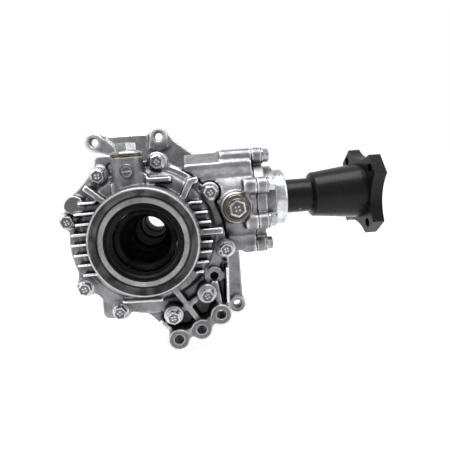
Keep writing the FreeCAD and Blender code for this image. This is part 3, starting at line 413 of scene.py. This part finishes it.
# In each look the second colour is a painted highlight on edges and the third is painted shade in
# corners.
lookZinc = {
    "base": (0.33, 0.335, 0.34, 1), "edge": (0.92, 0.92, 0.93, 1), "paintedShade": (0.02, 0.02, 0.022, 1),
    "metallic": 0.92, "roughness": 0.2, "bump": 0.12,
    "grainScale": 300.0, "shadeReach": 0.004, "shadeAmount": 0.95, "edgeWidth": 0.00035,
}
lookPlug = {
    "base": (0.080, 0.072, 0.062, 1), "edge": (0.60, 0.56, 0.50, 1), "paintedShade": (0.010, 0.008, 0.007, 1),
    "metallic": 0.9, "roughness": 0.2, "bump": 0.06, "shadeReach": 0.004, "shadeAmount": 0.95,
}
lookBrass = {
    "base": (0.10, 0.068, 0.028, 1), "edge": (0.22, 0.16, 0.07, 1), "paintedShade": (0.03, 0.02, 0.008, 1),
    "metallic": 0.85, "roughness": 0.35, "bump": 0.1, "shadeReach": 0.002,
}
lookSealRing = {
    "base": (0.22, 0.214, 0.212, 1), "edge": (0.36, 0.36, 0.36, 1), "paintedShade": (0.10, 0.10, 0.10, 1),
    "metallic": 0.7, "roughness": 0.5, "bump": 0.1, "shadeAmount": 0.15,
}
lookRubber = {
    "base": (0.0015, 0.0015, 0.0017, 1), "edge": (0.010, 0.010, 0.011, 1),
    "paintedShade": (0.0005, 0.0005, 0.0005, 1),
    "metallic": 0.0, "roughness": 0.22, "bump": 0.05, "specular": 0.10,
}
# The shaft's band colour is painted shade inside its bore.
lookShaft = {
    "base": (0.30, 0.29, 0.34, 1), "edge": (0.40, 0.40, 0.42, 1), "paintedShade": (0.05, 0.05, 0.055, 1),
    "metallic": 0.8, "roughness": 0.2, "bump": 0.08, "shadeAmount": 0.5, "specular": 0.04,
    "bandShade": (0.006, 0.006, 0.0065), "bandedMetallic": 0.0, "bandedRoughness": 0.62,
}
lookGear = {
    "base": (0.22, 0.22, 0.23, 1), "edge": (0.6, 0.6, 0.62, 1), "paintedShade": (0.05, 0.05, 0.05, 1),
    "metallic": 0.95, "roughness": 0.28, "bump": 0.08,
}
lookBearing = {
    "base": (0.52, 0.52, 0.54, 1), "edge": (0.85, 0.85, 0.86, 1), "paintedShade": (0.1, 0.1, 0.1, 1),
    "metallic": 0.98, "roughness": 0.16, "bump": 0.04,
}
lookCage = {
    "base": (0.28, 0.28, 0.29, 1), "edge": (0.6, 0.6, 0.6, 1), "paintedShade": (0.06, 0.06, 0.06, 1),
    "metallic": 0.9, "roughness": 0.35, "bump": 0.08,
}
# Painted shade: a darker colour for the dished tops of the heads.
lookRecessShade = {
    "base": (0.10, 0.10, 0.104, 1), "edge": (0.2, 0.2, 0.2, 1), "paintedShade": (0.01, 0.01, 0.01, 1),
    "metallic": 0.8, "roughness": 0.35, "bump": 0.1, "shadeReach": 0.003,
}
lookBlack = {
    "base": (0.0035, 0.0035, 0.004, 1), "edge": (0.025, 0.025, 0.027, 1),
    "paintedShade": (0.0012, 0.0012, 0.0012, 1),
    "metallic": 0.0, "roughness": 0.3, "bump": 0.08, "edgeWidth": 0.0006, "specular": 0.14,
    "nicks": (0.35, 0.35, 0.36, 1),
}
lookDust = {
    "base": (0.38, 0.385, 0.42, 1), "edge": (0.85, 0.85, 0.88, 1), "paintedShade": (0.05, 0.05, 0.06, 1),
    "metallic": 0.92, "roughness": 0.2, "bump": 0.06, "shadeAmount": 0.5,
}

# The lines that the lathe turned each piece about
aboutInput = {"Centre": (0, 0, 0), "Flatten": (1, 0, 1), "Along": (0, 1, 0)}
aboutOutput = {"Centre": (0, outputY, outputZ), "Flatten": (0, 1, 1), "Along": (1, 0, 0)}

# Faces cut flat, darkened as a painted reflection: the way they look, and how many metres out that way
# they are
caseFaces = [(forward, 0.013), (forward, 0.121)]
coverFaces = [(forward, 0.125), (forward, 0.119), (forward, 0.112)]
housingFaces = [(outward, 0.1423)]

# The hub's cut mouth, then the shaft's bore in painted shade: all of it ahead of Y = 0, and its narrow
# part behind
hubBand = {"Inner": 0.0449, "Outer": 0.0522, "Ahead": 0.1462}
shadedBores = [
    {"Inner": 0.0, "Outer": 0.06, "Ahead": 0.0},
    {"Inner": 0.0, "Outer": 0.0168, "Ahead": -0.034},
]

caseMaterial = castMaterial("caseCasting", caseFaces, aboutInput)
coverMaterial = castMaterial("coverCasting", coverFaces, aboutInput, hubBand)
housingMaterial = castMaterial("housingCasting", housingFaces, aboutOutput)
zincMaterial = metalMaterial("zincPlate", lookZinc)
plugMaterial = metalMaterial("plugPlate", lookPlug)
brassMaterial = metalMaterial("brassWasher", lookBrass)
sealRingMaterial = metalMaterial("sealRing", lookSealRing, aboutInput)
rubberMaterial = metalMaterial("greasedRubber", lookRubber, aboutInput)
shaftMaterial = metalMaterial("oiledShaft", lookShaft, aboutInput, shadedBores)
gearMaterial = metalMaterial("lappedGear", lookGear)
bearingMaterial = metalMaterial("groundBearing", lookBearing)
cageMaterial = metalMaterial("pressedCage", lookCage)
recessShadeMaterial = metalMaterial("headRecessShade", lookRecessShade)
blackMaterial = metalMaterial("blackCoating", lookBlack, aboutOutput)
dustMaterial = metalMaterial("zincCup", lookDust, aboutOutput)

finishes = {
    "transfer_case": caseMaterial,
    "adapter_case": coverMaterial,
    "pinion_housing": housingMaterial,
    "cover_bolts": zincMaterial,
    "pinion_housing_bolts": zincMaterial,
    "filler_plug": zincMaterial,
    "level_plug": plugMaterial,
    "filler_plug_gasket": brassMaterial,
    "level_plug_gasket": brassMaterial,
    "front_seal_case": sealRingMaterial,
    "front_seal_lip": rubberMaterial,
    "rear_seal": rubberMaterial,
    "pinion_seal": rubberMaterial,
    "pinion_housing_o_ring": rubberMaterial,
    "ring_gear_shaft": shaftMaterial,
    "ring_gear": gearMaterial,
    "drive_pinion": gearMaterial,
    "ring_gear_bolts": zincMaterial,
    "companion_flange": blackMaterial,
    "dust_cover": dustMaterial,
    "pinion_nut": zincMaterial,
    "pinion_washer": zincMaterial,
    "collapsible_spacer": gearMaterial,
}
for bearing in ("front", "rear", "pinion_inner", "pinion_outer"):
    for part in ("cup", "cone", "rollers"):
        finishes[f"{bearing}_bearing_{part}"] = bearingMaterial
    finishes[f"{bearing}_bearing_cage"] = cageMaterial


def dress(obj, *materials):
    # Clearing an empty list of materials would reset the faces' slots.
    if obj.data.materials:
        obj.data.materials.clear()
    for material in materials:
        obj.data.materials.append(material)


for name, material in finishes.items():
    dress(nodes[name], material)
print("materials placed")


# Rounded castings

castings = {
    "adapter_case": {"voxel": 1.35, "soften": 0.5, "passes": 4},
    "transfer_case": {"voxel": 1.9, "soften": 0.5, "passes": 3},
    "pinion_housing": {"voxel": 1.2, "soften": 0.5, "passes": 3},
}


def roundCasting(node, look):
    # The machined solid with the soft edges and fillets that a die leaves.
    mesh = bmesh.new()
    mesh.from_mesh(nodes[node].data)
    bmesh.ops.remove_doubles(mesh, verts=mesh.verts, dist=weld)
    data = bpy.data.meshes.new(f"{node}_draft")
    mesh.to_mesh(data)
    mesh.free()
    draft = bpy.data.objects.new(f"{node}_draft", data)
    scene.collection.objects.link(draft)
    remesh = draft.modifiers.new("skin", "REMESH")
    remesh.mode = "VOXEL"
    remesh.voxel_size = look["voxel"] * mm
    soften = draft.modifiers.new("soften", "SMOOTH")
    soften.factor = look["soften"]
    soften.iterations = look["passes"]
    graph = bpy.context.evaluated_depsgraph_get()
    skin = bpy.data.meshes.new_from_object(draft.evaluated_get(graph))
    bpy.data.objects.remove(draft)
    bpy.data.meshes.remove(data)
    skin.name = f"{node}_skin"
    skin.shade_smooth()
    obj = bpy.data.objects.new(f"{node}_skin", skin)
    scene.collection.objects.link(obj)
    dress(obj, finishes[node])
    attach(obj, "case")
    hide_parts(node)
    print(node, "rounded:", len(skin.polygons), "faces")


for name, look in castings.items():
    roundCasting(name, look)


# Bolts and plugs

dishSlot, hexSlot = 1, 2  # a head's material slots after the first, which is the flange's
# The dish of each head takes the darker recess colour, painted shade.
headMaterials = [zincMaterial, recessShadeMaterial, zincMaterial]
headShape = {"chamferDrop": 0.6, "dishWall": 0.5, "dimples": 4, "dimpleFlat": 0.55}


def placeOn(at, direction, spin):
    # A frame whose own Z axis stands on the seat.
    turned = Vector(direction).to_track_quat("Z", "Y").to_matrix().to_4x4()
    return Matrix.Translation(Vector(at) * mm) @ turned @ Matrix.Rotation(math.radians(spin), 4, "Z")


def spinProfile(part, profile, steps):
    # Turns (radius, height) points about the Z axis into a closed solid.
    verts = [part.verts.new((radius * mm, 0, height * mm)) for radius, height in profile]
    edges = [part.edges.new(pair) for pair in zip(verts, verts[1:])]
    bmesh.ops.spin(part, geom=verts + edges, cent=(0, 0, 0), axis=upward, angle=math.tau,
                   steps=steps, use_merge=True)
    bmesh.ops.remove_doubles(part, verts=part.verts, dist=weld)


def hexHead(part, look):
    # A chamfered hexagon with a dished top and dimples raised in the dish.
    turned = set(part.faces)
    corner = look["flat"] / 2 / math.cos(math.radians(30))
    ring = bmesh.ops.create_circle(part, cap_ends=True, segments=6, radius=corner * mm)["verts"]
    bmesh.ops.translate(part, verts=ring, vec=(0, 0, look["base"] * mm))
    grown = bmesh.ops.extrude_face_region(part, geom=[ring[0].link_faces[0]])["geom"]
    rim = [item for item in grown if isinstance(item, bmesh.types.BMVert)]
    lid = next(item for item in grown if isinstance(item, bmesh.types.BMFace))
    bmesh.ops.translate(part, verts=rim, vec=(0, 0, (look["top"] - look["base"]) * mm))
    bmesh.ops.inset_individual(part, faces=[lid], thickness=look["chamfer"] * mm, depth=0)
    drop = look["chamfer"] * headShape["chamferDrop"]
    bmesh.ops.translate(part, verts=rim, vec=(0, 0, -drop * mm))
    bmesh.ops.inset_individual(part, faces=[lid], thickness=look["lip"] * mm, depth=0)
    wall = bmesh.ops.inset_individual(part, faces=[lid], thickness=headShape["dishWall"] * mm,
                                      depth=-look["dish"] * mm)["faces"]
    for number in range(headShape["dimples"]):
        angle = math.tau * (number + 0.5) / headShape["dimples"]
        spot = Vector((math.cos(angle), math.sin(angle), 0)) * look["dimpleRing"] * mm
        spot.z = (look["top"] - look["dish"]) * mm
        size = Matrix.Diagonal((1.0, 1.0, headShape["dimpleFlat"], 1.0))
        bmesh.ops.create_icosphere(part, subdivisions=2, radius=look["dimple"] * mm,
                                   matrix=Matrix.Translation(spot) @ size)
    for face in part.faces:
        if face not in turned:
            face.material_index = hexSlot
    for face in (lid, *wall):
        face.material_index = dishSlot


def addFastener(mesh, place, look, grip):
    # One turning from the tip of the shank to the top of the flange, with the head on it.
    part = bmesh.new()
    shank = look["shank"]
    tipIn, tipUp = look["tip"]
    profile = [(0, -grip), (shank - tipIn, -grip), (shank, tipUp - grip), (shank, 0)]
    spinProfile(part, profile + look["flange"], look["steps"])
    hexHead(part, look)
    bmesh.ops.transform(part, matrix=place, verts=part.verts)
    data = bpy.data.meshes.new("fastener")
    part.to_mesh(data)
    part.free()
    mesh.from_mesh(data)
    bpy.data.meshes.remove(data)


def finishMesh(name, mesh, materials, sharpFrom=24.0):
    bmesh.ops.recalc_face_normals(mesh, faces=mesh.faces)
    data = bpy.data.meshes.new(name)
    mesh.to_mesh(data)
    mesh.free()
    obj = bpy.data.objects.new(name, data)
    scene.collection.objects.link(obj)
    dress(obj, *materials)
    data.shade_smooth()
    data.set_sharp_from_angle(angle=math.radians(sharpFrom))
    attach(obj, "case")
    return obj


boltLook = {
    "flat": 12.5, "base": 2.0, "top": 8.0, "chamfer": 0.7, "lip": 0.8, "dish": 1.0,
    "dimple": 1.25, "dimpleRing": 2.0,
    "shank": 3.9, "tip": (0.6, 0.6), "steps": 32,
    "flange": [(8.25, 0), (8.75, 0.35), (8.65, 1.1), (7.85, 1.5), (6.55, 2.3), (5.05, 2.5), (0, 2.5)],
}
coverBolts = {
    "circle": 83.3, "centreZ": -5, "joint": -100, "threadIn": 13,
    # angle round the hub, height of the seat over the joint, turn of the head
    "bolts": ((160.6, 12, 20), (120.8, 12, 4), (78.0, 12, 48), (33.8, 12, 33), (-11.0, 12, 12),
              (-46.7, 25, 25), (-76.3, 25, 8), (-116.5, 12, 40), (-147.6, 12, 15)),
}
housingBolts = {
    "seat": 129.3, "grip": 22.3,
    "turn": 13,  # how much further each head is turned than the one before
    # one in each quarter round the output line, and the same again nearer its top and bottom
    "offsets": ((43.7, 18.7), (17.5, 49.5)),
}


def coverBoltPlaces():
    places = []
    for angle, seat, spin in coverBolts["bolts"]:
        x = coverBolts["circle"] * math.cos(math.radians(angle))
        z = coverBolts["circle"] * math.sin(math.radians(angle)) + coverBolts["centreZ"]
        places.append(placeOn((x, coverBolts["joint"] - seat, z), forward, spin))
    return places


def housingBoltPlaces():
    places = []
    for alongY, alongZ in housingBolts["offsets"]:
        for y in (-alongY, alongY):
            for z in (-alongZ, alongZ):
                at = (housingBolts["seat"], outputY / mm + y, outputZ / mm + z)
                places.append(placeOn(at, outward, housingBolts["turn"] * len(places)))
    return places


def buildBolts():
    mesh = bmesh.new()
    for (_, seat, _), place in zip(coverBolts["bolts"], coverBoltPlaces()):
        addFastener(mesh, place, boltLook, seat + coverBolts["threadIn"])
    obj = finishMesh("coverBoltSet", mesh, headMaterials)
    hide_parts("cover_bolts")
    mesh = bmesh.new()
    for place in housingBoltPlaces():
        addFastener(mesh, place, boltLook, housingBolts["grip"])
    obj = finishMesh("housingBoltSet", mesh, headMaterials)
    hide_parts("pinion_housing_bolts")


towerMark = {
    "at": (-11.0, -132.0, 69.5), "spin": 4, "steps": 36,
    "disc": [(0, -1.5), (7.6, -1.5), (7.6, -0.8), (7.3, 1.0), (6.6, 1.5), (5.6, 1.3), (5.1, 0.3),
             (4.4, 0.3), (3.8, 0.8), (0, 0.9)],
    "bar": (9.6, 1.5, 1.6), "barEdge": 0.3, "barSlot": 1,
}


def buildTowerMark():
    # The small barred blanking disc cast into the filler tower's front.
    mesh = bmesh.new()
    spinProfile(mesh, towerMark["disc"], towerMark["steps"])
    bar = bmesh.ops.create_cube(mesh, size=mm)["verts"]
    size = Matrix.Diagonal((*towerMark["bar"], 1.0))
    lift = Matrix.Translation((0, 0, towerMark["bar"][2] / 2 * mm))
    bmesh.ops.transform(mesh, matrix=lift @ size, verts=bar)
    for face in mesh.faces:
        if face.verts[0] in bar:
            face.material_index = towerMark["barSlot"]
    edges = [edge for edge in mesh.edges if edge.verts[0] in bar]
    bmesh.ops.bevel(mesh, geom=edges, offset=towerMark["barEdge"] * mm, segments=2, profile=0.5,
                    material=-1, affect="EDGES")
    place = placeOn(towerMark["at"], forward, towerMark["spin"])
    bmesh.ops.transform(mesh, matrix=place, verts=mesh.verts)
    # The disc takes the same darker recess colour, painted shade.
    finishMesh("towerMark", mesh, [recessShadeMaterial, zincMaterial])


paintLook = {
    "color": (0.02, 0.25, 0.205), "roughness": 0.35, "bump": 0.4, "bumpDepth": 0.0002,
    # number of the bolt, and angle on its head
    "coverDabs": ((0, 70), (1, 40), (2, -15), (3, 45), (4, 200), (5, 0), (6, 40), (7, 60), (8, 140)),
    "housingDabs": ((0, 60), (1, 95), (2, 80), (3, 100), (5, 100), (7, 90)),
    # one drop on the hexagon and one on the flange: how far out, how high, and half its sizes
    "drops": ((6.5, 6.4, (0.9, 1.6, 1.7)), (7.6, 2.2, (1.1, 1.3, 0.7))),
}


def paintMaterial():
    material, tree, shader = newMaterial("tealPaint", 0.0)
    noise = noiseNode(tree, Scale=900.0, Detail=3.0)
    color = tinted(tree, paintLook["color"], rangeNode(tree, noise, *ranges["paint"]))
    feed(tree, shader["Base Color"], color)
    shader["Roughness"].default_value = paintLook["roughness"]
    bumpInto(tree, shader, noise, paintLook["bump"], paintLook["bumpDepth"])
    return material


def buildPaintMarks():
    # A torque-check dab over one corner of a head and its flange.
    mesh = bmesh.new()
    for places, dabs in ((coverBoltPlaces(), "coverDabs"), (housingBoltPlaces(), "housingDabs")):
        for number, angle in paintLook[dabs]:
            turned = places[number] @ Matrix.Rotation(math.radians(angle), 4, "Z")
            for out, height, sizes in paintLook["drops"]:
                spot = Matrix.Translation((out * mm, 0, height * mm))
                size = Matrix.Diagonal((*sizes, 1.0))
                bmesh.ops.create_icosphere(mesh, subdivisions=3, radius=mm,
                                           matrix=turned @ spot @ size)
    finishMesh("paintMarks", mesh, [paintMaterial()], 180.0)


levelLook = {
    "at": (95.4, -122.5, 23.4), "facing": forward, "spin": 8, "grip": 14,
    "flat": 16.0, "base": 3.0, "top": 8.5, "chamfer": 1.1, "lip": 0.9, "dish": 1.4,
    "dimple": 1.2, "dimpleRing": 2.6,
    "shank": 8.9, "tip": (0.9, 1.0), "steps": 48,
    "flange": [(13.6, 0), (14.2, 0.6), (14.2, 2.6), (13.5, 3.4), (12.4, 3.7), (11.6, 3.1),
               (10.2, 2.9), (9.4, 3.5), (6.0, 3.6), (0, 3.6)],
}
fillerLook = {
    "at": (-12.0, -116.2, 85.5), "facing": upward, "spin": 12, "grip": 14,
    "flat": 19.0, "base": 3.6, "top": 12.0, "chamfer": 1.2, "lip": 1.2, "dish": 1.0,
    "dimple": 1.6, "dimpleRing": 4.0,
    "shank": 8.9, "tip": (0.9, 1.0), "steps": 48,
    "flange": [(15.6, 0), (16.4, 0.7), (16.5, 1.8), (15.9, 2.7), (14.2, 3.0), (13.4, 3.4),
               (12.6, 4.0), (6.0, 4.0), (0, 4.0)],
}


def buildPlug(name, node, look, materials):
    mesh = bmesh.new()
    place = placeOn(look["at"], look["facing"], look["spin"])
    addFastener(mesh, place, look, look["grip"])
    obj = finishMesh(name, mesh, materials)
    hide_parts(node)


buildBolts()
buildTowerMark()
buildPaintMarks()
# The plugs' dishes take the darker recess colour, painted shade.
buildPlug("levelPlugHead", "level_plug", levelLook, [plugMaterial, recessShadeMaterial, zincMaterial])
buildPlug("fillerPlugHead", "filler_plug", fillerLook, headMaterials)
print("bolts and plugs placed")


# Floor, light and camera

white = (1, 1, 1, 1)
studio = {
    "floorSize": 6.0, "floorGap": 0.0005, "floor": (0.86, 0.86, 0.86, 1), "floorRoughness": 0.9,
    "floorGlow": 0.75, "world": 0.32, "backdrop": 1.0, "lampsAimAt": (0.06, -0.08, 0.0),
}


def glowWhereSeen(tree, plain, glowing, surface):
    # The glow is only for the camera, for reflections and for what glass shows.
    path = addNode(tree, "ShaderNodeLightPath").outputs
    seen = anyOf(tree, [path[f"Is {ray} Ray"] for ray in ("Camera", "Glossy", "Transmission")])
    mix = addNode(tree, "ShaderNodeMixShader", Fac=seen)
    feed(tree, mix.inputs[1], plain)
    feed(tree, mix.inputs[2], glowing)
    feed(tree, surface, mix.outputs[0])


def buildFloor():
    mesh = bmesh.new()
    bmesh.ops.create_grid(mesh, x_segments=1, y_segments=1, size=studio["floorSize"])
    bmesh.ops.translate(mesh, verts=mesh.verts, vec=(0, 0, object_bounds()[0][2] - studio["floorGap"]))
    data = bpy.data.meshes.new("studioFloor")
    mesh.to_mesh(data)
    mesh.free()
    floor = bpy.data.objects.new("studioFloor", data)
    scene.collection.objects.link(floor)
    material, tree, shader = newMaterial("paleFloor", 0.0)
    shader["Base Color"].default_value = studio["floor"]
    shader["Roughness"].default_value = studio["floorRoughness"]
    plain = tree.nodes["Principled BSDF"].outputs[0]
    glow = addNode(tree, "ShaderNodeEmission", Color=white, Strength=studio["floorGlow"])
    both = addNode(tree, "ShaderNodeAddShader")
    feed(tree, both.inputs[0], plain)
    feed(tree, both.inputs[1], glow.outputs[0])
    glowWhereSeen(tree, plain, both.outputs[0], tree.nodes["Material Output"].inputs["Surface"])
    dress(floor, material)


def buildWorld():
    world = bpy.data.worlds.new("studioWorld")
    world.use_nodes = True
    scene.world = world
    tree = world.node_tree
    plain = tree.nodes["Background"]
    plain.inputs["Color"].default_value = white
    plain.inputs["Strength"].default_value = studio["world"]
    glow = addNode(tree, "ShaderNodeBackground", Color=white, Strength=studio["backdrop"])
    surface = tree.nodes["World Output"].inputs["Surface"]
    glowWhereSeen(tree, plain.outputs[0], glow.outputs[0], surface)


lamps = {
    "topSoftbox": {"at": (0.05, -0.25, 0.8), "size": (0.9, 0.5), "power": 13.0},
    "leftSoftbox": {"at": (-0.75, -0.45, 0.40), "size": (0.35, 0.8), "power": 2.2},
    "rightSoftbox": {"at": (0.95, -0.30, 0.35), "size": (0.35, 0.8), "power": 2.0},
}


def buildLamps():
    for name, lamp in lamps.items():
        light = bpy.data.lights.new(name, "AREA")
        light.shape = "RECTANGLE"
        light.size, light.size_y = lamp["size"]
        light.energy = lamp["power"]
        obj = bpy.data.objects.new(name, light)
        obj.location = lamp["at"]
        aim = Vector(studio["lampsAimAt"]) - Vector(lamp["at"])
        obj.rotation_euler = aim.to_track_quat("-Z", "Y").to_euler()
        scene.collection.objects.link(obj)


cameraPlace = {
    "at": (0.0511, -0.5210, 0.0752),
    "right": (0.9933, -0.0890, -0.0741),
    "forward": (0.0754, 0.9827, -0.1693),
    "lens": 31.08,
    "sensor": 36.0,
    "nearest": 0.01,
}


def buildCamera():
    ahead = Vector(cameraPlace["forward"]).normalized()
    right = Vector(cameraPlace["right"])
    right = (right - ahead * right.dot(ahead)).normalized()
    up = right.cross(ahead)
    data = bpy.data.cameras.new("studioCamera")
    data.lens = cameraPlace["lens"]
    data.sensor_width = cameraPlace["sensor"]
    data.clip_start = cameraPlace["nearest"]
    obj = bpy.data.objects.new("studioCamera", data)
    turned = Matrix((right, up, -ahead)).transposed().to_4x4()
    obj.matrix_world = Matrix.Translation(cameraPlace["at"]) @ turned
    scene.collection.objects.link(obj)
    bpy.context.scene.camera = obj


buildFloor()
buildWorld()
buildLamps()
buildCamera()
scene.view_settings.view_transform = "Standard"
print("studio ready")
